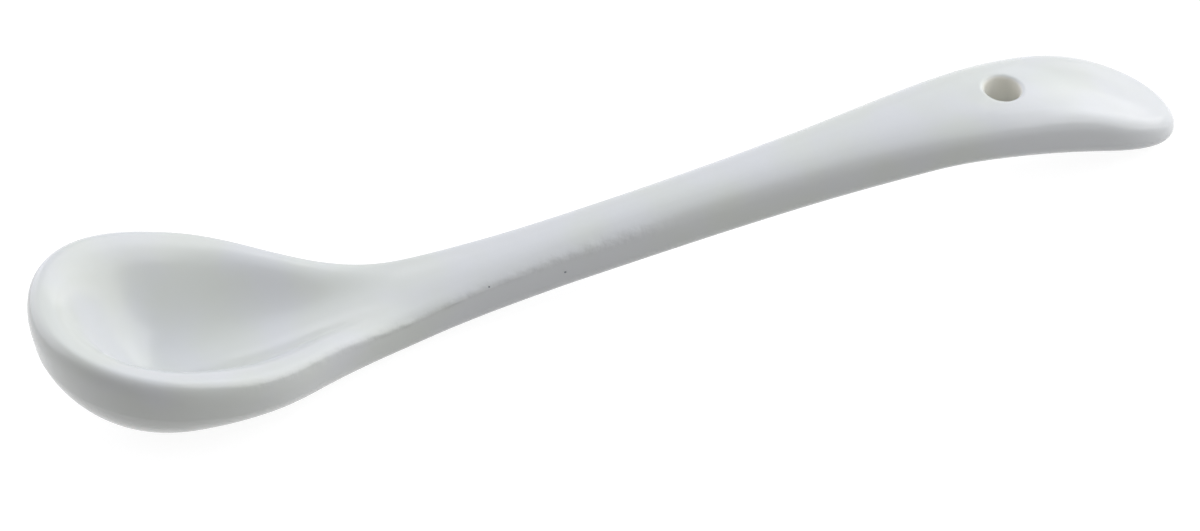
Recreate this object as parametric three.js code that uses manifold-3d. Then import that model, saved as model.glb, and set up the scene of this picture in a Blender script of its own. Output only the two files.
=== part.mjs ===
import * as THREE from 'three';
import { mergeVertices } from 'three/addons/utils/BufferGeometryUtils.js';
import Module from 'manifold-3d';

// A mustard spoon: one body of glazed porcelain, an egg-shaped bowl that runs without a joint
// through a shallow groove into a slim handle, which droops to its paddle end and has a hanging hole.
// Millimetres, +Z up. The long axis is X, with the nose of the bowl at the low end.
// Lengths called "At" are measured along X from the nose, those called "ToTip" back from the tip,
// and heights from the table.

// Overall
const spoonLength = 120;

// Outline seen from above
const bowlWidth = 23.9;
const bowlWidestAt = 13.3;
const waistWidth = 6.2;
const waistAt = 54.4;
const paddleWidth = 11.8;
const paddleToTip = 10;
const noseBluntShare = 0.44;
const noseShoulderShare = 0.7;
const bowlBackShare = 0.35;
const neckFlareShare = 0.765;
const waistRunShare = 0.7;
const paddleRunShare = 0.38;
const tipShoulderShare = 0.66;
const tipBluntShare = 0.61;

// Height of the rim and of the handle's top edges
const noseHeight = 13.8;
const noseSlope = 0.17;
const noseRunShare = 0.165;
const neckAt = 38;
const neckHeight = 5.65;
const neckRunShare = 0.27;
const archToTip = 38;
const archHeight = 9.7;
const archRunShare = 0.65;
const tipHeight = 2.3;
const tipSlope = -0.56;
const tipRunShare = 0.32;

// Hollow of the bowl, and the low crown that follows it on the handle
const floorThickness = 3.3;
const grooveEndAt = 46;
const floorRunShare = 0.35;
const grooveRunShare = 0.4;
const crownHeight = 0.35;
const hollowRoundness = 2.75;
const lipSoftness = 1.6;

// Rounding of the lip, which falls further than it reaches inward, and of the handle's top edges
const lipRadius = 1.35;
const lipFall = 2.1;
const neckEdgeRadius = 1.1;
const handleEdgeRadius = 1.95;
const tipEdgeRadius = 1.25;
const softEdgeAt = 66;

// Underside. It would dip below the table by the grinds, and is flat there instead.
const footGrind = 0.15;
const tipGrind = 0.35;
const footEndAt = 17.5;
const handleThickness = 5.4;
const heelAt = 59;
const heelStartShare = 0.485;
const heelEndShare = 0.41;
const underArchToTip = 28;
const underArchShare = 0.35;
const tipFootToTip = 1.7;
const tipFootShare = 0.05;
const bowlSquareness = 2;
const handleSquareness = 3.2;

// Hanging hole, upright as its mould pin draws out, with rounded mouths that follow the handle's slope
const holeToTip = 19.3;
const holeBore = 3.4;
const holeMouthRadius = 0.7;
const mouthSettle = 0.1;
const slopeStep = 0.5;
const cutterOverrun = 2;

// Fineness of the mesh
const noseRibs = 14;
const handleRibs = 50;
const tipRibs = 9;
const hollowSteps = 10;
const lipSteps = 4;
const underSteps = 10;
const holeSides = 32;
const holeMouthSteps = 4;
const searchSteps = 40;
const sliverArea = 1e-7;

// Places on the handle that move with its tip when the spoon's length changes
const paddleWidestAt = spoonLength - paddleToTip;
const archAt = spoonLength - archToTip;
const underArchAt = spoonLength - underArchToTip;
const tipFootAt = spoonLength - tipFootToTip;
const holeAt = spoonLength - holeToTip;

// One smooth span from a start to an end, with a slope at each and the share that each slope carries
function span(start, end, startShare, endShare, startSlope = 0, endSlope = 0) {
  const run = end.x - start.x;
  const leave = new THREE.Vector2(startShare * run, startSlope * startShare * run).add(start);
  const arrive = new THREE.Vector2(endShare * run, endSlope * endShare * run).multiplyScalar(-1).add(end);
  return new THREE.CubicBezierCurve(start, leave, arrive, end);
}

// The share along a curve at which a rising measure of its points reaches a goal
function shareWhere(curve, measure, goal) {
  let low = 0;
  let high = 1;
  for (let step = 0; step < searchSteps; step += 1) {
    const middle = (low + high) / 2;
    if (measure(curve.getPoint(middle)) < goal) low = middle;
    else high = middle;
  }
  return (low + high) / 2;
}

// The value of a chain of spans at one place along the spoon, level before its start and after its end
function valueAt(spans, x) {
  const curve = spans.find((each) => x <= each.v3.x) ?? spans.at(-1);
  if (x <= curve.v0.x) return curve.v0.y;
  if (x >= curve.v3.x) return curve.v3.y;
  return curve.getPoint(shareWhere(curve, (place) => place.x, x)).y;
}

function point(x, y) {
  return new THREE.Vector2(x, y);
}

// Outline from the nose round one side to the tip
const bowlSide = point(bowlWidestAt, bowlWidth / 2);
const waistSide = point(waistAt, waistWidth / 2);
const paddleSide = point(paddleWidestAt, paddleWidth / 2);
const noseCap = new THREE.CubicBezierCurve(
  point(0, 0),
  point(0, noseBluntShare * bowlSide.y),
  point(bowlSide.x * (1 - noseShoulderShare), bowlSide.y),
  bowlSide,
);
const tipCap = new THREE.CubicBezierCurve(
  paddleSide,
  point(paddleSide.x + tipShoulderShare * (spoonLength - paddleSide.x), paddleSide.y),
  point(spoonLength, tipBluntShare * paddleSide.y),
  point(spoonLength, 0),
);
const sideSpans = [
  span(bowlSide, waistSide, bowlBackShare, neckFlareShare),
  span(waistSide, paddleSide, waistRunShare, paddleRunShare),
];

// Rim and top edges from the side: down from the nose to the neck, up the handle, over and down to the tip
const handleSlope = (archHeight - neckHeight) / (archAt - neckAt);
const neckTop = point(neckAt, neckHeight);
const archTop = point(archAt, archHeight);
const rimSpans = [
  span(point(0, noseHeight), neckTop, noseRunShare, neckRunShare, noseSlope, handleSlope),
  span(neckTop, archTop, neckRunShare, archRunShare, handleSlope, handleSlope),
  span(archTop, point(spoonLength, tipHeight), archRunShare, tipRunShare, handleSlope, tipSlope),
];
const rimAt = (x) => valueAt(rimSpans, x);

// Centre line of the top: level over the bowl's floor, up the groove, then a low crown
const grooveEnd = point(grooveEndAt, rimAt(grooveEndAt) + crownHeight);
const floorSpans = [
  span(point(bowlWidestAt, floorThickness), grooveEnd, floorRunShare, grooveRunShare, 0, handleSlope),
];
const centreAt = (x) => (x < grooveEndAt ? valueAt(floorSpans, x) : rimAt(x) + crownHeight);

// Centre line of the underside: foot under the bowl, heel, even thickness along the handle, foot at the tip
const heel = point(heelAt, rimAt(heelAt) - handleThickness);
const underArch = point(underArchAt, rimAt(underArchAt) - handleThickness);
const underSpans = [
  span(point(footEndAt, -footGrind), heel, heelStartShare, heelEndShare, 0, handleSlope),
  span(heel, underArch, heelEndShare, underArchShare, handleSlope, handleSlope),
  span(underArch, point(tipFootAt, -tipGrind), underArchShare, tipFootShare, handleSlope, 0),
];
const underAt = (x) => valueAt(underSpans, x);

// A value that changes smoothly from the bowl's to the handle's between two places
function blend(x, from, to, bowlValue, handleValue) {
  return THREE.MathUtils.lerp(bowlValue, handleValue, THREE.MathUtils.smoothstep(x, from, to));
}

// A rounding that goes from the lip's to the neck's, then to the handle's, and at last to the tip's
function roundingAt(x, lipValue) {
  if (x < neckAt) return blend(x, bowlWidestAt, neckAt, lipValue, neckEdgeRadius);
  if (x > holeAt) return blend(x, holeAt, spoonLength, handleEdgeRadius, tipEdgeRadius);
  return blend(x, neckAt, softEdgeAt, neckEdgeRadius, handleEdgeRadius);
}

// Half of one cross-section, from the top's centre over the lip and back to the underside's centre.
// It runs from a point on the spine straight out to a point on the outline.
function ribPoints(spine, outline) {
  const reach = outline.distanceTo(spine);
  const outward = outline.clone().sub(spine).normalize();
  const edge = roundingAt(outline.x, lipRadius);
  const fall = roundingAt(outline.x, lipFall);
  const squareness = blend(outline.x, footEndAt, neckAt, bowlSquareness, handleSquareness);
  const crest = reach - edge;
  const points = [];
  const put = (distance, heightOf) => {
    const place = outward.clone().multiplyScalar(distance).add(spine);
    points.push(new THREE.Vector3(place.x, place.y, Math.max(0, heightOf(place.x))));
  };
  for (let step = 0; step <= hollowSteps; step += 1) {
    const share = step / hollowSteps;
    const sink = (1 - share ** hollowRoundness) ** lipSoftness;
    put(crest * share, (x) => THREE.MathUtils.lerp(rimAt(x), centreAt(x), sink));
  }
  for (let step = 1; step <= lipSteps; step += 1) {
    const turn = (step / lipSteps) * (Math.PI / 2);
    put(crest + edge * Math.sin(turn), (x) => rimAt(x) - fall * (1 - Math.cos(turn)));
  }
  for (let step = 1; step <= underSteps; step += 1) {
    const turn = (step / underSteps) * (Math.PI / 2);
    const inward = Math.cos(turn) ** (2 / squareness);
    const drop = Math.sin(turn) ** (2 / squareness);
    put(reach * inward, (x) => THREE.MathUtils.lerp(rimAt(x) - fall, underAt(x), drop));
  }
  return points;
}

// Ribs from the nose to the tip: a fan round the bowl's middle, straight ones, a fan at the paddle's end
function sideRibs() {
  const bowlMiddle = point(bowlWidestAt, 0);
  const paddleMiddle = point(paddleWidestAt, 0);
  const ribs = [];
  for (let step = 0; step < noseRibs; step += 1) {
    const angle = (step / noseRibs) * (Math.PI / 2);
    const turned = (place) => Math.atan2(place.y, bowlMiddle.x - place.x);
    ribs.push(ribPoints(bowlMiddle, noseCap.getPoint(shareWhere(noseCap, turned, angle))));
  }
  for (let step = 0; step <= handleRibs; step += 1) {
    const x = THREE.MathUtils.lerp(bowlWidestAt, paddleWidestAt, step / handleRibs);
    ribs.push(ribPoints(point(x, 0), point(x, valueAt(sideSpans, x))));
  }
  for (let step = 1; step <= tipRibs; step += 1) {
    const angle = (step / tipRibs) * (Math.PI / 2);
    const turned = (place) => Math.PI / 2 - Math.atan2(place.y, place.x - paddleMiddle.x);
    ribs.push(ribPoints(paddleMiddle, tipCap.getPoint(shareWhere(tipCap, turned, angle))));
  }
  return ribs;
}

// A closed skin over the ribs of one side and their mirror image
function loftedGeometry(ribs) {
  const positions = [];
  const triangle = (...corners) => {
    const area = new THREE.Triangle(...corners).getArea();
    if (area > sliverArea) corners.forEach((corner) => positions.push(corner.x, corner.y, corner.z));
  };
  const mirrored = (corner) => new THREE.Vector3(corner.x, -corner.y, corner.z);
  for (let rib = 0; rib + 1 < ribs.length; rib += 1) {
    for (let step = 0; step + 1 < ribs[rib].length; step += 1) {
      const [a, b] = [ribs[rib][step], ribs[rib][step + 1]];
      const [c, d] = [ribs[rib + 1][step], ribs[rib + 1][step + 1]];
      triangle(a, c, d);
      triangle(a, d, b);
      triangle(mirrored(a), mirrored(d), mirrored(c));
      triangle(mirrored(a), mirrored(b), mirrored(d));
    }
  }
  const geometry = new THREE.BufferGeometry();
  geometry.setAttribute('position', new THREE.Float32BufferAttribute(positions, 3));
  return mergeVertices(geometry);
}

// How steeply a line of heights rises at the hole
function slopeAtHole(heightAt) {
  return (heightAt(holeAt + slopeStep) - heightAt(holeAt - slopeStep)) / (2 * slopeStep);
}

// The cutter for the hanging hole: an upright bore that opens at both ends in a rounded mouth.
// Its level zero is the handle's top, and each mouth leans with the surface that it opens in.
function holeCutterGeometry() {
  const depth = centreAt(holeAt) - underAt(holeAt) - mouthSettle;
  const boreRadius = holeBore / 2;
  const mouthReach = boreRadius + holeMouthRadius;
  const profile = [point(0, -depth - cutterOverrun), point(mouthReach, -depth - cutterOverrun)];
  for (let step = 0; step <= holeMouthSteps; step += 1) {
    const turn = (step / holeMouthSteps) * (Math.PI / 2);
    const rise = holeMouthRadius * (1 - Math.cos(turn));
    profile.push(point(mouthReach - holeMouthRadius * Math.sin(turn), rise - depth));
  }
  for (let step = 0; step <= holeMouthSteps; step += 1) {
    const turn = (step / holeMouthSteps) * (Math.PI / 2);
    const rise = holeMouthRadius * (1 - Math.sin(turn));
    profile.push(point(mouthReach - holeMouthRadius * Math.cos(turn), -rise - mouthSettle));
  }
  profile.push(point(mouthReach, cutterOverrun), point(0, cutterOverrun));
  const cutter = new THREE.LatheGeometry(profile, holeSides);
  cutter.rotateX(Math.PI / 2);
  const places = cutter.attributes.position;
  for (let index = 0; index < places.count; index += 1) {
    const level = places.getZ(index);
    const slope = slopeAtHole(level > -depth / 2 ? centreAt : underAt);
    places.setZ(index, level + slope * places.getX(index));
  }
  cutter.translate(holeAt, 0, centreAt(holeAt));
  return cutter;
}

// A closed geometry as a solid that can be cut
function asSolid(geometry, wasm) {
  const bare = geometry.clone();
  bare.deleteAttribute('normal');
  bare.deleteAttribute('uv');
  const closed = mergeVertices(bare);
  return new wasm.Manifold(new wasm.Mesh({
    numProp: 3,
    vertProperties: new Float32Array(closed.attributes.position.array),
    triVerts: new Uint32Array(closed.index.array),
  }));
}

// A solid as a geometry again, with flat facets
function asGeometry(solid) {
  const { vertProperties, triVerts } = solid.getMesh();
  const indexed = new THREE.BufferGeometry();
  indexed.setAttribute('position', new THREE.BufferAttribute(vertProperties, 3));
  indexed.setIndex(new THREE.BufferAttribute(triVerts, 1));
  const geometry = indexed.toNonIndexed();
  geometry.computeVertexNormals();
  return geometry;
}

const wasm = await Module();
wasm.setup();

const blank = asSolid(loftedGeometry(sideRibs()), wasm);
const pierced = blank.subtract(asSolid(holeCutterGeometry(), wasm));

const glazedPorcelain = new THREE.MeshStandardMaterial({
  color: 0xe6e8e9,
  roughness: 0.14,
  metalness: 0,
});

const spoonBody = new THREE.Mesh(asGeometry(pierced), glazedPorcelain);
spoonBody.name = 'spoon_body';
spoonBody.position.x = -spoonLength / 2;

const mustardSpoon = new THREE.Group();
mustardSpoon.add(spoonBody);

export default mustardSpoon;
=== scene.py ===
import math

import bmesh
import bpy
import numpy
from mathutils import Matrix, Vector
from mathutils.bvhtree import BVHTree


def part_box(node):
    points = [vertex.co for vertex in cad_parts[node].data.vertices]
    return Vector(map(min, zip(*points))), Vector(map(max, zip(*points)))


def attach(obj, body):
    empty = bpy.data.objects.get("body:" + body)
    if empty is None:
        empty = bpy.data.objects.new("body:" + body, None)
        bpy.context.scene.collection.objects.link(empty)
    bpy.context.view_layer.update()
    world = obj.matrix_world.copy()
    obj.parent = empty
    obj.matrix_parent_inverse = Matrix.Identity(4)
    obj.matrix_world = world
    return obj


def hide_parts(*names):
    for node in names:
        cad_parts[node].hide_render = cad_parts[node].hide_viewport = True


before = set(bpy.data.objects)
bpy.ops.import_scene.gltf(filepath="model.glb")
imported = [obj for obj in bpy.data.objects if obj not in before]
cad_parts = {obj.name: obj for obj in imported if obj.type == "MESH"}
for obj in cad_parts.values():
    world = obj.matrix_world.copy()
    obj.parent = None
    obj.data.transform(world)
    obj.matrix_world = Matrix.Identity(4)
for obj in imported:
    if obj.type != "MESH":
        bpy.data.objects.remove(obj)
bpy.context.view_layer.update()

bl_info = {
    "name": "Mustard spoon",
    "version": (1, 0, 0),
    "blender": (4, 5, 0),
    "location": "3D View > Sidebar > Spoon",
    "description": "Models a glazed porcelain mustard spoon and the studio that shows it",
    "category": "Object",
}

MM = 0.001
NODE = "spoon_body"
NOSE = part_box(NODE)[0].x
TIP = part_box(NODE)[1].x
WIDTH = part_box(NODE)[1].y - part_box(NODE)[0].y
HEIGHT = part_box(NODE)[1].z
LENGTH = TIP - NOSE

# Ribs and loops of the sphere that the cage starts from. The loops of the hollow, of a pole's fan and of
# the hole's block are counted from a pole, and those of the lip from the hollow's edge
SPHERE_RIBS = 56
SPHERE_LOOPS = 26
HOLLOW_LOOPS = 8
LIP_LOOPS = 4
POLE_LOOPS = 4
HOLE_LOOPS = 6

# Steps along the drawn-out cage, round each mouth of the hole and down its bore
STATIONS = 50
MOUTH_STEPS = 4
BORE_CUTS = 3

# How finely the cage is rounded, and how often it is moved back to where its surface should pass
FINE_LEVELS = 2
SETTLING_PASSES = 4

# A rounding with this squareness or fullness is a plain ellipse
PLAIN_ELLIPSE = 2

QUARTER_TURN = math.pi / 2
EIGHTH_TURN = math.pi / 4
LOOP_TURN = math.pi / SPHERE_LOOPS
HOLLOW_REACH = math.sin(HOLLOW_LOOPS * LOOP_TURN)

# Slack for rounding errors, and the share of a form's size within which two places count as one
ROUNDING_SLACK = 0.001
SAME_PLACE = 0.02

# How near the frame's loose corners lie to be merged, and how far two of its facets may bend to be one
MERGE_DISTANCE = 0.002 * MM
FACET_BEND = math.radians(60)

# Reaches round the hanging hole, as shares of its mouth's outer radius: of the block of cells taken out,
# of the round band drawn in from it, and of the nearer and further ribs that carry the skin over the hole
BLOCK_SHARE = 1.3
BAND_SHARE = 1.05
CLEAR_SHARE = 2.2
POST_SHARE = 3.5

# Steepness and softness of the bowl's wall in the frame
FRAME_HOLLOW = (2.75, 1.6)

# How far before and behind the neck the bowl's wall gives way to the handle's arch
NECK_BLEND = 12 * MM

# Unevenness that sponging leaves, from one swell to the next and from low to high
SPONGING_WIDTH = 12 * MM
SPONGING_DEPTH = 0.05 * MM

# The trimmed seam: how far it fades at each end, the upward lean of the skin where it is strongest, and
# the width, detail and depth of its scrapes
FETTLING_FADE = 8 * MM
FETTLED_LEAN = 0.55
SCRAPE_WIDTH = 1.6 * MM
SCRAPE_DETAIL = 3
SCRAPE_DEPTH = 0.25 * MM

# Middles and radii of the two kiln pinholes, and their depth
PINHOLES = (
    ((-7.45 * MM, -3.08 * MM, 4.67 * MM), 0.17 * MM),
    ((-15.45 * MM, -3.29 * MM, 5.64 * MM), 0.12 * MM),
)
PIT_DEPTH = 0.05 * MM

# Widths of the glaze's thicker pools, duller patches, long waves and orange peel, and depths of the last two
POOL_WIDTH = 11 * MM
PATCH_WIDTH = 5 * MM
WAVE_WIDTH = 8 * MM
WAVE_DEPTH = 0.03 * MM
PEEL_WIDTH = 1.5 * MM
PEEL_DEPTH = 0.005 * MM

# Levels of a cloudy pattern between which the glaze thickens, and between which its gloss goes down
THICKENING = (0.4, 0.62)
DULLING = (0.35, 0.65)

# Roughness of the glaze where it is glossiest and where it is dullest, and of the bare clay
GLAZE_ROUGHNESS = (0.16, 0.24)
BARE_ROUGHNESS = 0.6

# Maps a range with soft ends
SOFT_STEP = {"interpolation_type": "SMOOTHSTEP"}

# Makes a Mix node mix colours, by the sockets at these places, whose names stand for other kinds as well
OF_COLOURS = {"data_type": "RGBA"}
MIX_SHARE, MIX_FIRST, MIX_SECOND = 0, 6, 7
MIXED = 2

# Length of the sweep as a number of spoons, and metres from the spoon to each lamp
SWEEP_LENGTHS = 40
LAMP_DISTANCE = 0.9


def linear(hex_code):
    """An sRGB hex colour as linear red, green, blue and alpha"""
    channels = [int(hex_code[start:start + 2], 16) / 255 for start in (1, 3, 5)]
    return [c / 12.92 if c <= 0.04045 else ((c + 0.055) / 1.055) ** 2.4 for c in channels] + [1.0]


def colour_property(name, description, hex_code):
    """A colour that the user can change, from its sRGB hex code"""
    return bpy.props.FloatVectorProperty(
        name=name, description=description, default=linear(hex_code),
        size=4, subtype="COLOR", min=0, max=1,
    )


class SpoonSizes(bpy.types.PropertyGroup):
    """Sizes of the spoon that its frame doesn't say by itself"""

    bowl_middle: bpy.props.FloatProperty(
        name="Bowl middle", description="From the nose to the widest place of the bowl",
        default=13.3 * MM, unit="LENGTH",
    )
    paddle_middle: bpy.props.FloatProperty(
        name="Paddle middle", description="From the tip back to the widest place of the handle's end",
        default=10 * MM, unit="LENGTH",
    )
    lip_radius: bpy.props.FloatProperty(
        name="Lip radius", description="How far the rounding of the bowl's lip reaches inward",
        default=1.5 * MM, unit="LENGTH",
    )
    lip_fall: bpy.props.FloatProperty(
        name="Lip fall", description="How far the rounding of the bowl's lip falls down the wall",
        default=2.5 * MM, unit="LENGTH",
    )
    lip_squareness: bpy.props.FloatProperty(
        name="Lip squareness", description="2 rounds the lip as a plain ellipse, and more fills it out",
        default=3.3,
    )
    wall_steepness: bpy.props.FloatProperty(
        name="Wall steepness", description="How flat the bowl's floor stays before its wall rises",
        default=2.9,
    )
    lip_softness: bpy.props.FloatProperty(
        name="Lip softness", description="How gently the bowl's wall turns over into its lip",
        default=2.9,
    )
    arch_fullness: bpy.props.FloatProperty(
        name="Arch fullness", default=2.4,
        description="2 arches the handle's top as a plain ellipse, and more fills it out",
    )
    neck_edge: bpy.props.FloatProperty(
        name="Neck edge", description="Rounding of the top edges at the neck",
        default=1.1 * MM, unit="LENGTH",
    )
    handle_edge: bpy.props.FloatProperty(
        name="Handle edge", description="Rounding of the handle's top edges",
        default=1.95 * MM, unit="LENGTH",
    )
    tip_edge: bpy.props.FloatProperty(
        name="Tip edge", description="Rounding of the top edge at the tip",
        default=1.25 * MM, unit="LENGTH",
    )
    neck_place: bpy.props.FloatProperty(
        name="Neck", description="From the nose to the neck, where the top edges are crispest",
        default=38 * MM, unit="LENGTH",
    )
    soft_place: bpy.props.FloatProperty(
        name="Soft place", description="From the nose to where the handle's edges are fully soft",
        default=66 * MM, unit="LENGTH",
    )
    hole_place: bpy.props.FloatProperty(
        name="Hole", description="From the tip back to the middle of the hanging hole",
        default=19.3 * MM, unit="LENGTH",
    )
    hole_bore: bpy.props.FloatProperty(
        name="Hole bore", description="Bore of the hanging hole",
        default=3.7 * MM, unit="LENGTH",
    )
    mouth_radius: bpy.props.FloatProperty(
        name="Mouth radius", description="Rounding of the hole's two mouths",
        default=0.5 * MM, unit="LENGTH",
    )


class PorcelainLook(bpy.types.PropertyGroup):
    """Colours of the fired porcelain, with painted shade in its pinholes and painted light in its bore"""

    glaze: colour_property("Glaze", "The white of the glaze where it is thin", "#dadcde")
    pooled: colour_property("Pooled glaze", "Its white where it lies a little thicker", "#d9dcd8")
    # Partly painted light: the bare clay is set lighter than the glaze to brighten the shaded bore
    bare_and_painted_light: colour_property("Bare clay", "The unglazed body inside the hanging hole", "#efeee7")
    # Painted shade: this dark grey stands in for the shade inside the tiny pinholes
    shaded_pit: colour_property("Pit floor", "The floors of the kiln pinholes", "#8b8f96")


class StudioSettings(bpy.types.PropertyGroup):
    """Where the camera stands and how bright the lamps are"""

    elevation: bpy.props.FloatProperty(
        name="Elevation", description="Height of the camera over the table, as an angle",
        default=math.radians(43), subtype="ANGLE",
    )
    swing: bpy.props.FloatProperty(
        name="Swing", description="Turn of the camera round the spoon, from its side towards its bowl",
        default=math.radians(-21.717), subtype="ANGLE",
    )
    distance: bpy.props.FloatProperty(
        name="Distance", description="From the camera to the point that it looks at",
        default=491.8 * MM, unit="LENGTH",
    )
    aim: bpy.props.FloatVectorProperty(
        name="Aim", description="The point that the camera looks at",
        default=(-3.07 * MM, -1.3 * MM, 2.49 * MM), subtype="XYZ",
    )
    lens: bpy.props.FloatProperty(
        name="Lens", description="Focal length in millimetres on a sensor 36 mm wide", default=150.0,
    )
    fill: bpy.props.FloatProperty(
        name="Fill", description="Brightness of the room's even light on the spoon", default=0.24,
    )
    power: bpy.props.FloatProperty(
        name="Lamp power", description="Brightness of all the lamps together", default=0.99,
    )
    glow: bpy.props.FloatProperty(
        name="Paper glow", description="How bright the paper is seen where the spoon shades it fully",
        default=0.9,
    )
    shade: colour_property(
        "Paper shade", "What the lamps add to the paper's glow where nothing shades it", "#898989",
    )
    stray: colour_property(
        "Paper bounce", "The paper's grey as far as it throws light up at the spoon", "#c4c4c4",
    )


def add_node(tree, kind, settings=None, sockets=None):
    """Adds a node with its settings, and gives each socket named a value or another node's output"""
    node = tree.nodes.new(kind)
    for name, value in (settings or {}).items():
        setattr(node, name, value)
    for name, value in (sockets or {}).items():
        if isinstance(value, bpy.types.NodeSocket):
            tree.links.new(value, node.inputs[name])
        else:
            node.inputs[name].default_value = value
    return node


def new_material(name):
    """A material whose nodes are still to be added"""
    material = bpy.data.materials.new(name)
    material.use_nodes = True
    material.node_tree.nodes.clear()
    return material


def alone(thing):
    """Makes one object the only selected and the active one, in object mode"""
    if bpy.context.object and bpy.context.object.mode != "OBJECT":
        bpy.ops.object.mode_set(mode="OBJECT")
    bpy.ops.object.select_all(action="DESELECT")
    thing.hide_set(False)
    thing.select_set(True)
    bpy.context.view_layer.objects.active = thing


def pick(kind, test):
    """In edit mode, selects only the parts of a kind that pass a test, and returns their corners' places"""
    bpy.ops.mesh.select_mode(type=kind)
    bpy.ops.mesh.select_all(action="DESELECT")
    mesh = bpy.context.object.data
    parts = bmesh.from_edit_mesh(mesh)
    for part in {"VERT": parts.verts, "EDGE": parts.edges, "FACE": parts.faces}[kind]:
        if test(part):
            part.select_set(True)
    parts.select_flush_mode()
    bmesh.update_edit_mesh(mesh)
    return [vertex.co.copy() for vertex in parts.verts if vertex.select]


def settle(thing, rounding):
    """Moves a cage's vertices straight out until its rounded surface passes where they are now"""
    mesh = thing.data
    normals = numpy.empty(3 * len(mesh.vertices), numpy.float32)
    mesh.vertices.foreach_get("normal", normals)
    normals = normals.reshape(-1, 3)
    goal = numpy.empty(3 * len(mesh.vertices), numpy.float32)
    mesh.vertices.foreach_get("co", goal)
    place = goal.copy()
    for _ in range(SETTLING_PASSES):
        mesh.vertices.foreach_set("co", place)
        mesh.update()
        seen = thing.evaluated_get(bpy.context.evaluated_depsgraph_get())
        rounded = seen.to_mesh()
        reached = numpy.empty(3 * len(rounded.vertices), numpy.float32)
        rounded.vertices.foreach_get("co", reached)
        seen.to_mesh_clear()
        missing = (goal - reached[:len(goal)]).reshape(-1, 3)
        place += ((missing * normals).sum(axis=1, keepdims=True) * normals).ravel()
    mesh.vertices.foreach_set("co", place)
    mesh.update()
    alone(thing)
    bpy.ops.object.modifier_apply(modifier=rounding.name)


def round_off(thing):
    """Smooths a cage with subdivision without shrinking it"""
    rounding = thing.modifiers.new("Rounding", "SUBSURF")
    rounding.levels = rounding.render_levels = FINE_LEVELS
    settle(thing, rounding)


def smooth_target():
    """A merged copy of the frame's solid with its facets rounded off, for the cage to lie on"""
    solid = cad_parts[NODE]
    target = solid.copy()
    target.data = solid.data.copy()
    bpy.context.scene.collection.objects.link(target)
    alone(target)
    bpy.ops.object.mode_set(mode="EDIT")
    bpy.ops.mesh.select_all(action="SELECT")
    bpy.ops.mesh.remove_doubles(threshold=MERGE_DISTANCE)
    bpy.ops.mesh.tris_convert_to_quads(face_threshold=FACET_BEND, shape_threshold=FACET_BEND)
    bpy.ops.object.mode_set(mode="OBJECT")
    round_off(target)
    tree = BVHTree.FromObject(target, bpy.context.evaluated_depsgraph_get())
    bpy.data.objects.remove(target)
    return tree


def touch(tree, guide, way):
    """Where a line from far out along a way, back towards a guide point, first meets the solid"""
    start = guide + way.normalized() * LENGTH
    hit = tree.ray_cast(start, -way)[0]
    if hit is None:
        raise RuntimeError(f"nothing of the frame lies towards {guide}")
    return hit


def ease(share):
    """A smooth step from 0 to 1"""
    share = min(max(share, 0), 1)
    return share * share * (3 - 2 * share)


def top_rounding(sizes, place, lip, neck, handle):
    """A measure of the top edge, from the lip's at the bowl to the neck's and on to the handle's"""
    if place < sizes.neck_place:
        share = ease((place - sizes.bowl_middle) / (sizes.neck_place - sizes.bowl_middle))
        return lip + (neck - lip) * share
    share = ease((place - sizes.neck_place) / (sizes.soft_place - sizes.neck_place))
    return neck + (handle - neck) * share


def sink(share, steepness, softness):
    """How far the top has sunk, from 0 at its rim to 1 in its middle, at a share of the way to the rim"""
    return (1 - min(share, 1) ** steepness) ** softness


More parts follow.
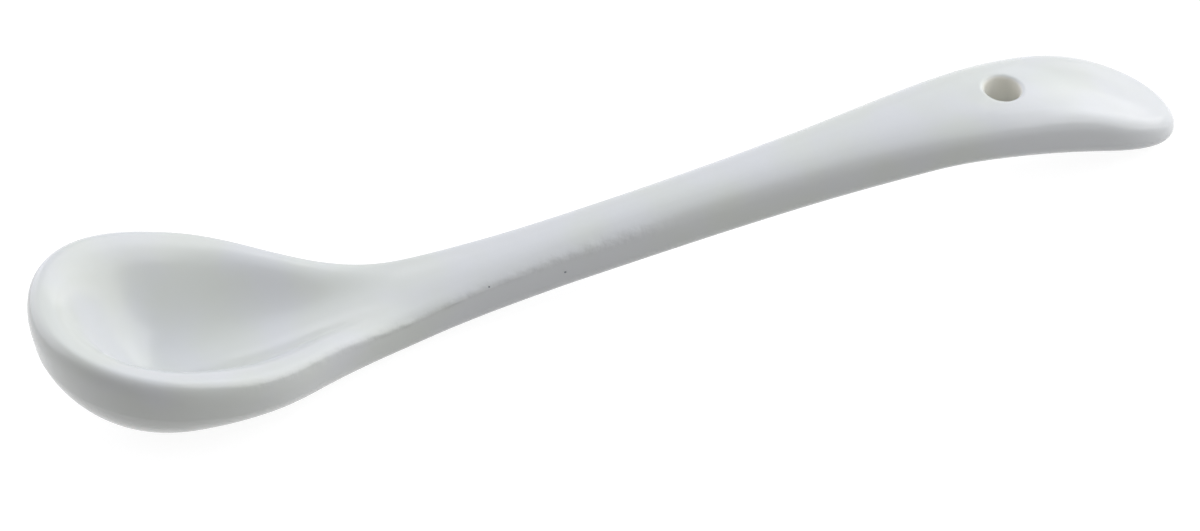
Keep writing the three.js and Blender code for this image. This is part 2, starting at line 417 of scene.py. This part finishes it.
class Rib:
    """One half section of the spoon, from its spine straight out to its outline"""

    # Steps up the spoon's height at which a rib feels for the outline
    HEIGHTS = 24

    def __init__(self, tree, sizes, spine, out, skin=None):
        self.tree = tree
        self.skin = skin if skin is not None and skin.covers(spine.x) else None
        self.spine = spine
        self.out = out
        # The outline is the furthest skin that is felt from outside, at any height
        heights = [HEIGHT * step / self.HEIGHTS for step in range(1, self.HEIGHTS)]
        starts = [spine + out * LENGTH + Vector((0, 0, height)) for height in heights]
        hits = [tree.ray_cast(start, -out)[0] for start in starts]
        self.reach = max((hit - spine).dot(out) for hit in hits if hit is not None)
        place = (spine + out * self.reach).x - NOSE
        beyond_hole = ease((place - LENGTH + sizes.hole_place) / sizes.hole_place)
        handle_edge = sizes.handle_edge + (sizes.tip_edge - sizes.handle_edge) * beyond_hole
        self.inward = top_rounding(sizes, place, sizes.lip_radius, sizes.neck_edge, handle_edge)
        self.fall = top_rounding(sizes, place, sizes.lip_fall, sizes.neck_edge, handle_edge)
        self.crest = self.reach - self.inward
        self.squareness = top_rounding(sizes, place, sizes.lip_squareness, PLAIN_ELLIPSE, PLAIN_ELLIPSE)
        self.hollow = (sizes.wall_steepness, sizes.lip_softness)
        beyond_neck = ease((place - sizes.neck_place + NECK_BLEND) / (2 * NECK_BLEND))
        before_tip = ease((LENGTH - sizes.paddle_middle - place) / (sizes.hole_place - sizes.paddle_middle))
        self.arched = beyond_neck * before_tip
        self.hollowed = 1 - beyond_neck
        self.arch_fullness = sizes.arch_fullness
        self.lip_foot = self.upright(1, True).z - self.fall
        self.side_middle = (self.lip_foot + self.upright(1, False).z) / 2

    def upright(self, share, above):
        """The skin straight above or below a share of the way from the spine to the crest of the lip"""
        way = Vector((0, 0, 1 if above else -1))
        return touch(self.tree, self.spine + self.out * (self.crest * share), way)

    def middle_top(self):
        """Height of the top's middle, which over the hole is carried over from beside it"""
        if self.skin is not None:
            return self.skin.carried(self.spine.x, Rib.middle_top)
        return self.upright(0, True).z

    def over(self, share, above):
        """The worked top or the plain underside, at a share of the way from the spine to the crest"""
        return self.top(share) if above else self.upright(share, False)

    def top(self, share):
        """The skin of the top, with the bowl's wall and the handle's crown worked over"""
        skin = self.upright(share, True)
        depth = self.middle_top() - self.upright(1, True).z
        worked = (sink(share, *self.hollow) - sink(share, *FRAME_HOLLOW)) * self.hollowed
        return self.arch(skin + Vector((0, 0, depth * worked)))

    def arch(self, skin):
        """Turns the skin of the top, from the neck on, into one full arch from side to side"""
        share = min((skin - self.spine).dot(self.out) / self.reach, 1)
        rise = self.middle_top() - self.lip_foot
        height = self.lip_foot + rise * (1 - share ** self.arch_fullness) ** (1 / self.arch_fullness)
        return Vector((skin.x, skin.y, skin.z + (height - skin.z) * self.arched))

    def on_lip(self, turn):
        """The skin of the lip, filled out a little, at a turn from straight out to straight up"""
        centre = self.spine + self.out * self.crest + Vector((0, 0, self.lip_foot))
        way = self.out * (self.inward * math.cos(turn)) + Vector((0, 0, self.fall * math.sin(turn)))
        skin = touch(self.tree, centre, way.normalized())
        across, up = math.cos(turn) ** self.squareness, math.sin(turn) ** self.squareness
        return self.arch(centre + (skin - centre) * (across + up) ** (-1 / self.squareness))

    def on_side(self, turn):
        """The skin of the side and its lower corner, at a turn from straight out to straight down"""
        centre = self.spine + self.out * self.crest + Vector((0, 0, self.side_middle))
        return touch(self.tree, centre, self.out * math.cos(turn) - Vector((0, 0, math.sin(turn))))


class UncutSkin:
    """The handle's top and underside as if the hole weren't there, carried over from ribs clear of it"""

    def __init__(self, tree, sizes):
        self.middle = TIP - sizes.hole_place
        mouth = mouth_reach(sizes)
        self.clear = CLEAR_SHARE * mouth
        away = (-POST_SHARE, -CLEAR_SHARE, CLEAR_SHARE, POST_SHARE)
        self.posts = [Rib(tree, sizes, Vector((self.middle + mouth * share, 0, 0)), Vector((0, 1, 0)))
                      for share in away]

    def covers(self, x):
        """Whether a place along the spoon is so near the hole that its skin has to be carried over"""
        return abs(x - self.middle) < self.clear

    def carried(self, x, measure):
        """What a measure of the ribs comes to between them, on one smooth curve"""
        places = [post.spine.x - self.middle for post in self.posts]
        curve = numpy.polyfit(places, [measure(post) for post in self.posts], len(places) - 1)
        return float(numpy.polyval(curve, x - self.middle))

    def point(self, x, y, above):
        """The skin above or below a place in the plan, as if uncut"""
        share = abs(y) / self.carried(x, lambda post: post.crest)
        return Vector((x, y, self.carried(x, lambda post: post.over(share, above).z)))


def mouth_reach(sizes):
    """Radius of the hole's mouth, its rounding included"""
    return sizes.hole_bore / 2 + sizes.mouth_radius


def hole_cell(sizes):
    """Length of one cell of the cage beside the hole, whose block of cells is wider than its mouth"""
    return BLOCK_SHARE * mouth_reach(sizes) / HOLE_LOOPS


def start_cage(sizes):
    """A sphere as wide as the bowl, its far half drawn out along the handle and cut into stations"""
    bowl_x = NOSE + sizes.bowl_middle
    paddle_x = TIP - sizes.paddle_middle
    hole_x = TIP - sizes.hole_place
    bpy.ops.object.select_all(action="DESELECT")
    bpy.ops.mesh.primitive_uv_sphere_add(
        segments=SPHERE_RIBS, ring_count=SPHERE_LOOPS, radius=WIDTH / 2, location=(bowl_x, 0, 0),
    )
    body = bpy.context.object
    body.name = body.data.name = "porcelain_spoon"
    bpy.ops.object.transform_apply(location=True, rotation=True, scale=True)
    bpy.ops.object.mode_set(mode="EDIT")
    pick("FACE", lambda face: face.calc_center_median().x > bowl_x)
    bpy.ops.mesh.extrude_region_move(TRANSFORM_OT_translate={"value": (paddle_x - bowl_x, 0, 0)})
    # Stations stand evenly along the handle, and closer together at the hole
    cell = hole_cell(sizes)
    fine = [hole_x + cell * step for step in range(-HOLE_LOOPS, HOLE_LOOPS + 1)]
    pitch = (paddle_x - bowl_x) / STATIONS
    even = [bowl_x + pitch * step for step in range(1, STATIONS)]
    clear = [x for x in even if x < fine[0] - cell or x > fine[-1] + cell]
    for x in clear + fine:
        bpy.ops.mesh.select_all(action="SELECT")
        bpy.ops.mesh.bisect(plane_co=(x, 0, 0), plane_no=(1, 0, 0))
    return body


def refill_pole(middle_x, side, above):
    """Takes the fan of triangles off a pole of the sphere and fills its place with a grid"""
    reach = WIDTH / 2 * math.sin(POLE_LOOPS * LOOP_TURN)
    slack = reach * SAME_PLACE

    def in_fan(vertex):
        ahead = (vertex.co.x - middle_x) * side
        inside = math.hypot(ahead, vertex.co.y) < reach - slack
        return ahead > slack and inside and (vertex.co.z > 0) == above

    pick("VERT", in_fan)
    bpy.ops.mesh.delete(type="VERT")
    pick("EDGE", lambda edge: edge.is_boundary)
    parts = bmesh.from_edit_mesh(bpy.context.object.data)
    rim = {vertex for edge in parts.edges if edge.is_boundary for vertex in edge.verts}
    chord = [vertex for vertex in rim if abs(vertex.co.x - middle_x) < slack]
    parts.select_history.clear()
    parts.select_history.add(min(chord, key=lambda vertex: vertex.co.y))
    bpy.ops.mesh.fill_grid(span=2 * POLE_LOOPS, offset=0)


def open_blocks(sizes):
    """Takes out the block of cells that each mouth of the hanging hole needs"""
    half_length = hole_cell(sizes) * HOLE_LOOPS
    half_width = WIDTH / 2 * math.sin(HOLE_LOOPS * LOOP_TURN)
    hollow_level = WIDTH / 2 * math.cos(HOLLOW_LOOPS * LOOP_TURN)

    def in_block(face):
        centre = face.calc_center_median()
        along = abs(centre.x - TIP + sizes.hole_place) < half_length
        return along and abs(centre.y) < half_width and abs(centre.z) > hollow_level

    pick("FACE", in_block)
    bpy.ops.mesh.delete(type="FACE")


def lay_on_frame(body, tree, skin, sizes):
    """Moves each vertex of the cage from its place on the drawn-out sphere to its place on the frame"""
    radius = WIDTH / 2
    bowl_x = NOSE + sizes.bowl_middle
    paddle_x = TIP - sizes.paddle_middle
    # The lip ends at the widest loop, and the side runs from the loop after it down to the foot
    widest = HOLLOW_LOOPS + LIP_LOOPS
    foot = SPHERE_LOOPS - HOLLOW_LOOPS
    ribs = {}
    for vertex in body.data.vertices:
        spine = Vector((min(max(vertex.co.x, bowl_x), paddle_x), 0, 0))
        offset = Vector((vertex.co.x, vertex.co.y, 0)) - spine
        out = offset.normalized() if offset.length > radius * ROUNDING_SLACK else Vector((0, 1, 0))
        # Vertices of the same half section share one rib
        key = (round(spine.x / MM, 3), round(out.x, 4), round(out.y, 4))
        if key not in ribs:
            ribs[key] = Rib(tree, sizes, spine, out, skin)
        rib = ribs[key]
        share = offset.length / (radius * HOLLOW_REACH)
        loop = math.atan2(offset.length, vertex.co.z) / LOOP_TURN
        if share <= 1 + ROUNDING_SLACK:
            above = vertex.co.z > 0
            if skin.covers(spine.x):
                vertex.co = skin.point(spine.x, out.y * rib.crest * share, above)
            else:
                vertex.co = rib.over(share, above)
        elif loop <= widest + ROUNDING_SLACK:
            vertex.co = rib.on_lip((widest - loop) / LIP_LOOPS * QUARTER_TURN)
        else:
            vertex.co = rib.on_side((loop - widest - 1) / (foot - widest - 1) * QUARTER_TURN)


def turn_on_circle(along, across):
    """The turn, round the hole, at which a point on the rim of its square block comes to lie"""
    if abs(along) >= abs(across):
        turn = EIGHTH_TURN * across / abs(along)
        return turn if along > 0 else math.pi - turn
    return math.copysign(QUARTER_TURN, across) - EIGHTH_TURN * along / across


def pierce(sizes, skin):
    """Draws the two open blocks in to round mouths, joins them as a bore and rounds both mouths"""
    bore = sizes.hole_bore / 2
    band = BAND_SHARE * mouth_reach(sizes)
    half_length = hole_cell(sizes) * HOLE_LOOPS
    level = (skin.point(skin.middle, 0, True).z + skin.point(skin.middle, 0, False).z) / 2
    mesh = bpy.context.object.data

    def on_rim(edge, above):
        return edge.is_boundary and all((vertex.co.z > level) == above for vertex in edge.verts)

    for above in (True, False):
        half_width = max(point.y for point in pick("EDGE", lambda edge: on_rim(edge, above)))
        # The square rim is drawn in to a round band beside the mouth, and that to the bore
        for radius in (band, bore):
            bpy.ops.mesh.extrude_edges_move(TRANSFORM_OT_translate={"value": (0, 0, 0)})
            parts = bmesh.from_edit_mesh(mesh)
            for vertex in [vertex for vertex in parts.verts if vertex.select]:
                along = vertex.co.x - skin.middle
                across = vertex.co.y
                if radius == band:
                    turn = turn_on_circle(along / half_length, across / half_width)
                else:
                    turn = math.atan2(across, along)
                x = skin.middle + radius * math.cos(turn)
                vertex.co = skin.point(x, radius * math.sin(turn), above)
            bmesh.update_edit_mesh(mesh)
    pick("EDGE", lambda edge: edge.is_boundary)
    bpy.ops.mesh.bridge_edge_loops(number_cuts=BORE_CUTS)

    def from_axis(vertex):
        return math.hypot(vertex.co.x - skin.middle, vertex.co.y)

    def on_mouth(edge):
        between = (bore + band) / 2
        corners = [vertex for face in edge.link_faces for vertex in face.verts]
        at_bore = all(from_axis(vertex) < between for vertex in edge.verts)
        return at_bore and any(from_axis(vertex) > between for vertex in corners)

    pick("EDGE", on_mouth)
    parts = bmesh.from_edit_mesh(mesh)
    # Only the edges that run round a mouth are bevelled, and not those that lead into it
    for edge in parts.edges:
        first, second = edge.verts
        if edge.select and abs(from_axis(first) - from_axis(second)) > bore * SAME_PLACE:
            edge.select_set(False)
    bpy.ops.mesh.bevel(offset=sizes.mouth_radius, segments=MOUTH_STEPS, affect="EDGES")


class SPOON_OT_body(bpy.types.Operator):
    """Models the spoon's one piece of porcelain: bowl, handle, drooping paddle and hanging hole"""

    bl_idname = "spoon.body"
    bl_label = "Porcelain spoon"

    def execute(self, context):
        sizes = context.scene.spoon_sizes
        tree = smooth_target()
        skin = UncutSkin(tree, sizes)
        body = start_cage(sizes)
        for above in (True, False):
            refill_pole(NOSE + sizes.bowl_middle, -1, above)
            refill_pole(TIP - sizes.paddle_middle, 1, above)
        open_blocks(sizes)
        bpy.ops.object.mode_set(mode="OBJECT")
        lay_on_frame(body, tree, skin, sizes)
        bpy.ops.object.mode_set(mode="EDIT")
        pierce(sizes, skin)
        bpy.ops.mesh.select_all(action="SELECT")
        bpy.ops.mesh.normals_make_consistent(inside=False)
        bpy.ops.object.mode_set(mode="OBJECT")
        bpy.ops.object.shade_smooth()
        round_off(body)
        hand_finish(body)
        # What the rounding and the unevenness pushed under the table is pressed back up to it
        for vertex in body.data.vertices:
            vertex.co.z = max(vertex.co.z, 0)
        # Marks the bore, for its duller bare clay and the painted light there
        paint_where(body, "bare_clay_and_painted_light", lambda vertex: inside_bore(vertex, sizes))
        paint_where(body, "fettled", lambda vertex: on_fettled_edge(vertex, sizes))
        body.data.materials.clear()
        body.data.materials.append(glazed_porcelain(context.scene.porcelain_look))
        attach(body, "root")
        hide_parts(NODE)
        return {"FINISHED"}


def hand_finish(body):
    """Very slight unevenness over the whole skin, as sponging leaves before the firing"""
    clouds = bpy.data.textures.new("sponging", "CLOUDS")
    clouds.noise_scale = SPONGING_WIDTH
    alone(body)
    bpy.ops.object.modifier_add(type="DISPLACE")
    uneven = body.modifiers[-1]
    uneven.texture = clouds
    uneven.texture_coords = "LOCAL"
    uneven.strength = SPONGING_DEPTH
    bpy.ops.object.modifier_apply(modifier=uneven.name)


def paint_where(body, name, amount):
    """Stores an amount for each vertex, for the glaze to read"""
    values = [amount(vertex) for vertex in body.data.vertices]
    body.data.attributes.new(name, "FLOAT", "POINT").data.foreach_set("value", values)


def inside_bore(vertex, sizes):
    """How surely a vertex lies on the wall of the bore, short of its rounded mouths"""
    from_axis = math.hypot(vertex.co.x - TIP + sizes.hole_place, vertex.co.y)
    return 1 - ease((from_axis - sizes.hole_bore / 2) / (sizes.mouth_radius / 2))


def on_fettled_edge(vertex, sizes):
    """How surely a vertex lies on the outer top edge from bowl to handle, where the seam was trimmed"""
    place = vertex.co.x - NOSE
    behind = ease((place - sizes.bowl_middle) / FETTLING_FADE)
    ahead = ease((sizes.soft_place - place) / FETTLING_FADE)
    lean = vertex.normal.z
    outward = math.copysign(vertex.normal.y, vertex.normal.y * vertex.co.y)
    outside = ease(outward / (1 - FETTLED_LEAN))
    return behind * ahead * outside * ease(lean / FETTLED_LEAN) * ease((1 - lean) / (1 - FETTLED_LEAN))


def glazed_porcelain(look):
    """Pressed porcelain under a clear glossy glaze: a cool white body seen through a skin like glass"""
    material = new_material("glazed_porcelain")
    tree = material.node_tree
    place = add_node(tree, "ShaderNodeTexCoord").outputs["Object"]
    clouds = {}
    for width in (POOL_WIDTH, PATCH_WIDTH, WAVE_WIDTH, PEEL_WIDTH):
        pattern = add_node(tree, "ShaderNodeTexNoise", sockets={"Vector": place, "Scale": 1 / width})
        clouds[width] = pattern.outputs["Fac"]

    # The glaze pools thicker here and there, which turns its cool white very slightly green
    thick = add_node(tree, "ShaderNodeMapRange", settings=SOFT_STEP, sockets={
        "Value": clouds[POOL_WIDTH], "From Min": THICKENING[0], "From Max": THICKENING[1],
    })
    pooled = add_node(tree, "ShaderNodeMix", settings=OF_COLOURS, sockets={
        MIX_SHARE: thick.outputs["Result"], MIX_FIRST: look.glaze, MIX_SECOND: look.pooled,
    })

    # Kiln pinholes: two tiny pits, low on the near side of the handle and past the neck, their floors
    # painted dark as painted shade
    shaded_pit = 0.0
    for middle, radius in PINHOLES:
        away = add_node(tree, "ShaderNodeVectorMath", settings={"operation": "DISTANCE"}, sockets={
            0: place, 1: middle,
        })
        near = add_node(tree, "ShaderNodeMapRange", settings=SOFT_STEP, sockets={
            "Value": away.outputs["Value"], "From Min": radius / 2, "From Max": radius,
            "To Min": 1, "To Max": 0,
        })
        shaded_pit = add_node(tree, "ShaderNodeMath", settings={"operation": "MAXIMUM"}, sockets={
            0: shaded_pit, 1: near.outputs["Result"],
        }).outputs[0]
    with_pit_shade = add_node(tree, "ShaderNodeMix", settings=OF_COLOURS, sockets={
        MIX_SHARE: shaded_pit, MIX_FIRST: pooled.outputs[MIXED], MIX_SECOND: look.shaded_pit,
    })

    # Inside the bore the kiln's pin kept the glaze off, so the body shows, duller and warmer; its colour is
    # also painted lighter than the glaze, as painted light in the shaded bore
    bare_and_painted_light = add_node(tree, "ShaderNodeAttribute", settings={"attribute_name": "bare_clay_and_painted_light"}).outputs["Fac"]
    colour = add_node(tree, "ShaderNodeMix", settings=OF_COLOURS, sockets={
        MIX_SHARE: bare_and_painted_light, MIX_FIRST: with_pit_shade.outputs[MIXED], MIX_SECOND: look.bare_and_painted_light,
    })
    gloss = add_node(tree, "ShaderNodeMapRange", settings=SOFT_STEP, sockets={
        "Value": clouds[PATCH_WIDTH], "From Min": DULLING[0], "From Max": DULLING[1],
        "To Min": GLAZE_ROUGHNESS[0], "To Max": GLAZE_ROUGHNESS[1],
    })
    dry = add_node(tree, "ShaderNodeMath", settings={"operation": "MULTIPLY"}, sockets={
        0: bare_and_painted_light, 1: BARE_ROUGHNESS,
    })
    roughness = add_node(tree, "ShaderNodeMath", settings={"operation": "MAXIMUM"}, sockets={
        0: gloss.outputs["Result"], 1: dry.outputs[0],
    })

    # Relief: long soft waves in the glaze, its fine orange peel, the pinholes and the trimmed seam
    fettled = add_node(tree, "ShaderNodeAttribute", settings={"attribute_name": "fettled"}).outputs["Fac"]
    scratches = add_node(tree, "ShaderNodeTexNoise", sockets={
        "Vector": place, "Scale": 1 / SCRAPE_WIDTH, "Detail": SCRAPE_DETAIL,
    })
    scrapes = add_node(tree, "ShaderNodeMath", settings={"operation": "MULTIPLY"}, sockets={
        0: fettled, 1: scratches.outputs["Fac"],
    })
    relief = None
    for height, depth, sunken in (
        (clouds[WAVE_WIDTH], WAVE_DEPTH, False),
        (clouds[PEEL_WIDTH], PEEL_DEPTH, False),
        (shaded_pit, PIT_DEPTH, True),
        (scrapes.outputs[0], SCRAPE_DEPTH, False),
    ):
        sockets = {"Height": height, "Distance": depth}
        if relief is not None:
            sockets["Normal"] = relief
        relief = add_node(tree, "ShaderNodeBump", settings={"invert": sunken}, sockets=sockets).outputs[0]

    # The glaze mirrors like glass, and the body lets light a little way in, red the furthest
    shader = add_node(tree, "ShaderNodeBsdfPrincipled", sockets={
        "Base Color": colour.outputs[MIXED], "Roughness": roughness.outputs[0], "Normal": relief,
        "IOR": 1.52, "Subsurface Weight": 0.15, "Subsurface Radius": (1.0, 0.95, 0.85),
        "Subsurface Scale": 0.8 * MM,
    })
    add_node(tree, "ShaderNodeOutputMaterial", sockets={"Surface": shader.outputs["BSDF"]})
    return material


def when_seen(tree):
    """1 where the camera sees a surface, also mirrored or through glass, and 0 where it only lights"""
    path = add_node(tree, "ShaderNodeLightPath")
    seen = path.outputs["Is Camera Ray"]
    for kind in ("Is Glossy Ray", "Is Transmission Ray"):
        seen = add_node(tree, "ShaderNodeMath", settings={"operation": "MAXIMUM"}, sockets={
            0: seen, 1: path.outputs[kind],
        }).outputs[0]
    return seen


def plain_sweep(studio):
    """White paper: seen as pure white with the spoon's faint shadow, and grey to the light that strays"""
    material = new_material("white_sweep")
    tree = material.node_tree
    glow = add_node(tree, "ShaderNodeEmission", sockets={"Strength": studio.glow})
    shaded = add_node(tree, "ShaderNodeBsdfDiffuse", sockets={"Color": studio.shade})
    white = add_node(tree, "ShaderNodeAddShader", sockets={0: glow.outputs[0], 1: shaded.outputs[0]})
    paper = add_node(tree, "ShaderNodeBsdfDiffuse", sockets={"Color": studio.stray})
    sweep = add_node(tree, "ShaderNodeMixShader", sockets={
        0: when_seen(tree), 1: paper.outputs[0], 2: white.outputs[0],
    })
    add_node(tree, "ShaderNodeOutputMaterial", sockets={"Surface": sweep.outputs[0]})
    material.cycles.emission_sampling = "NONE"
    return material


def studio_walls(fill):
    """The room: white where it is seen or mirrored, and only a weak even light on what stands in it"""
    world = bpy.data.worlds.new("studio_walls")
    world.use_nodes = True
    tree = world.node_tree
    tree.nodes.clear()
    weak = add_node(tree, "ShaderNodeBackground", sockets={"Color": linear("#fffcf6"), "Strength": fill})
    white = add_node(tree, "ShaderNodeBackground", sockets={"Color": linear("#ffffff"), "Strength": 1})
    walls = add_node(tree, "ShaderNodeMixShader", sockets={
        0: when_seen(tree), 1: weak.outputs[0], 2: white.outputs[0],
    })
    add_node(tree, "ShaderNodeOutputWorld", sockets={"Surface": walls.outputs[0]})
    return world


def way_out(turn, rise):
    """The direction out from the spoon at a turn from its near side and a rise over the table"""
    return Vector((math.sin(turn) * math.cos(rise), -math.cos(turn) * math.cos(rise), math.sin(rise)))


def softbox(name, turn, rise, size, watts, colour):
    """A large soft lamp, at degrees of turn round the spoon from its near side and of rise over the table"""
    lamp = bpy.data.lights.new(name, "AREA")
    lamp.shape = "RECTANGLE"
    lamp.size, lamp.size_y = size
    lamp.energy = watts
    lamp.color = linear(colour)[:3]
    stand = bpy.data.objects.new(name, lamp)
    back = way_out(math.radians(turn), math.radians(rise))
    stand.location = back * LAMP_DISTANCE
    stand.rotation_euler = back.to_track_quat("Z", "Y").to_euler()
    bpy.context.scene.collection.objects.link(stand)


class SPOON_OT_studio(bpy.types.Operator):
    """Sets the table, the lamps and the camera round the spoon"""

    bl_idname = "spoon.studio"
    bl_label = "Studio"

    def execute(self, context):
        studio = context.scene.spoon_studio
        bpy.ops.object.select_all(action="DESELECT")
        bpy.ops.mesh.primitive_plane_add(size=SWEEP_LENGTHS * LENGTH, location=(0, 0, 0))
        floor = context.object
        floor.name = floor.data.name = "sweep"
        floor.data.materials.append(plain_sweep(studio))
        context.scene.world = studio_walls(studio.fill)
        softbox("key_softbox", turn=90, rise=30, size=(1.5, 1.1), watts=6.7 * studio.power, colour="#fffdfa")
        softbox("overhead_softbox", turn=105, rise=54, size=(1.9, 1.3), watts=5.5 * studio.power,
                colour="#e9f2ff")
        softbox("back_softbox", turn=220, rise=22, size=(1.5, 1.0), watts=7.0 * studio.power,
                colour="#f5f5ff")
        camera = bpy.data.cameras.new("studio_camera")
        camera.lens = studio.lens
        stand = bpy.data.objects.new("studio_camera", camera)
        back = way_out(studio.swing, studio.elevation)
        stand.location = Vector(studio.aim) + back * studio.distance
        stand.rotation_euler = back.to_track_quat("Z", "Y").to_euler()
        context.scene.collection.objects.link(stand)
        context.scene.camera = stand
        context.scene.view_settings.view_transform = "Standard"
        return {"FINISHED"}


class SPOON_PT_panel(bpy.types.Panel):
    """Lists the spoon's pieces and the studio"""

    bl_idname = "SPOON_PT_panel"
    bl_label = "Mustard spoon"
    bl_space_type = "VIEW_3D"
    bl_region_type = "UI"
    bl_category = "Spoon"

    def draw(self, context):
        scene = context.scene
        for settings in (scene.spoon_sizes, scene.porcelain_look, scene.spoon_studio):
            for name in settings.__annotations__:
                self.layout.prop(settings, name)
        for operator in OPERATORS:
            self.layout.operator(operator.bl_idname)


OPERATORS = (SPOON_OT_body, SPOON_OT_studio)
CLASSES = (SpoonSizes, PorcelainLook, StudioSettings, *OPERATORS, SPOON_PT_panel)


def register():
    for each in CLASSES:
        bpy.utils.register_class(each)
    bpy.types.Scene.spoon_sizes = bpy.props.PointerProperty(type=SpoonSizes)
    bpy.types.Scene.porcelain_look = bpy.props.PointerProperty(type=PorcelainLook)
    bpy.types.Scene.spoon_studio = bpy.props.PointerProperty(type=StudioSettings)


def unregister():
    del bpy.types.Scene.spoon_studio
    del bpy.types.Scene.porcelain_look
    del bpy.types.Scene.spoon_sizes
    for each in reversed(CLASSES):
        bpy.utils.unregister_class(each)


def main():
    """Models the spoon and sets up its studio"""
    register()
    bpy.ops.spoon.body()
    bpy.ops.spoon.studio()


if __name__ == "__main__":
    main()
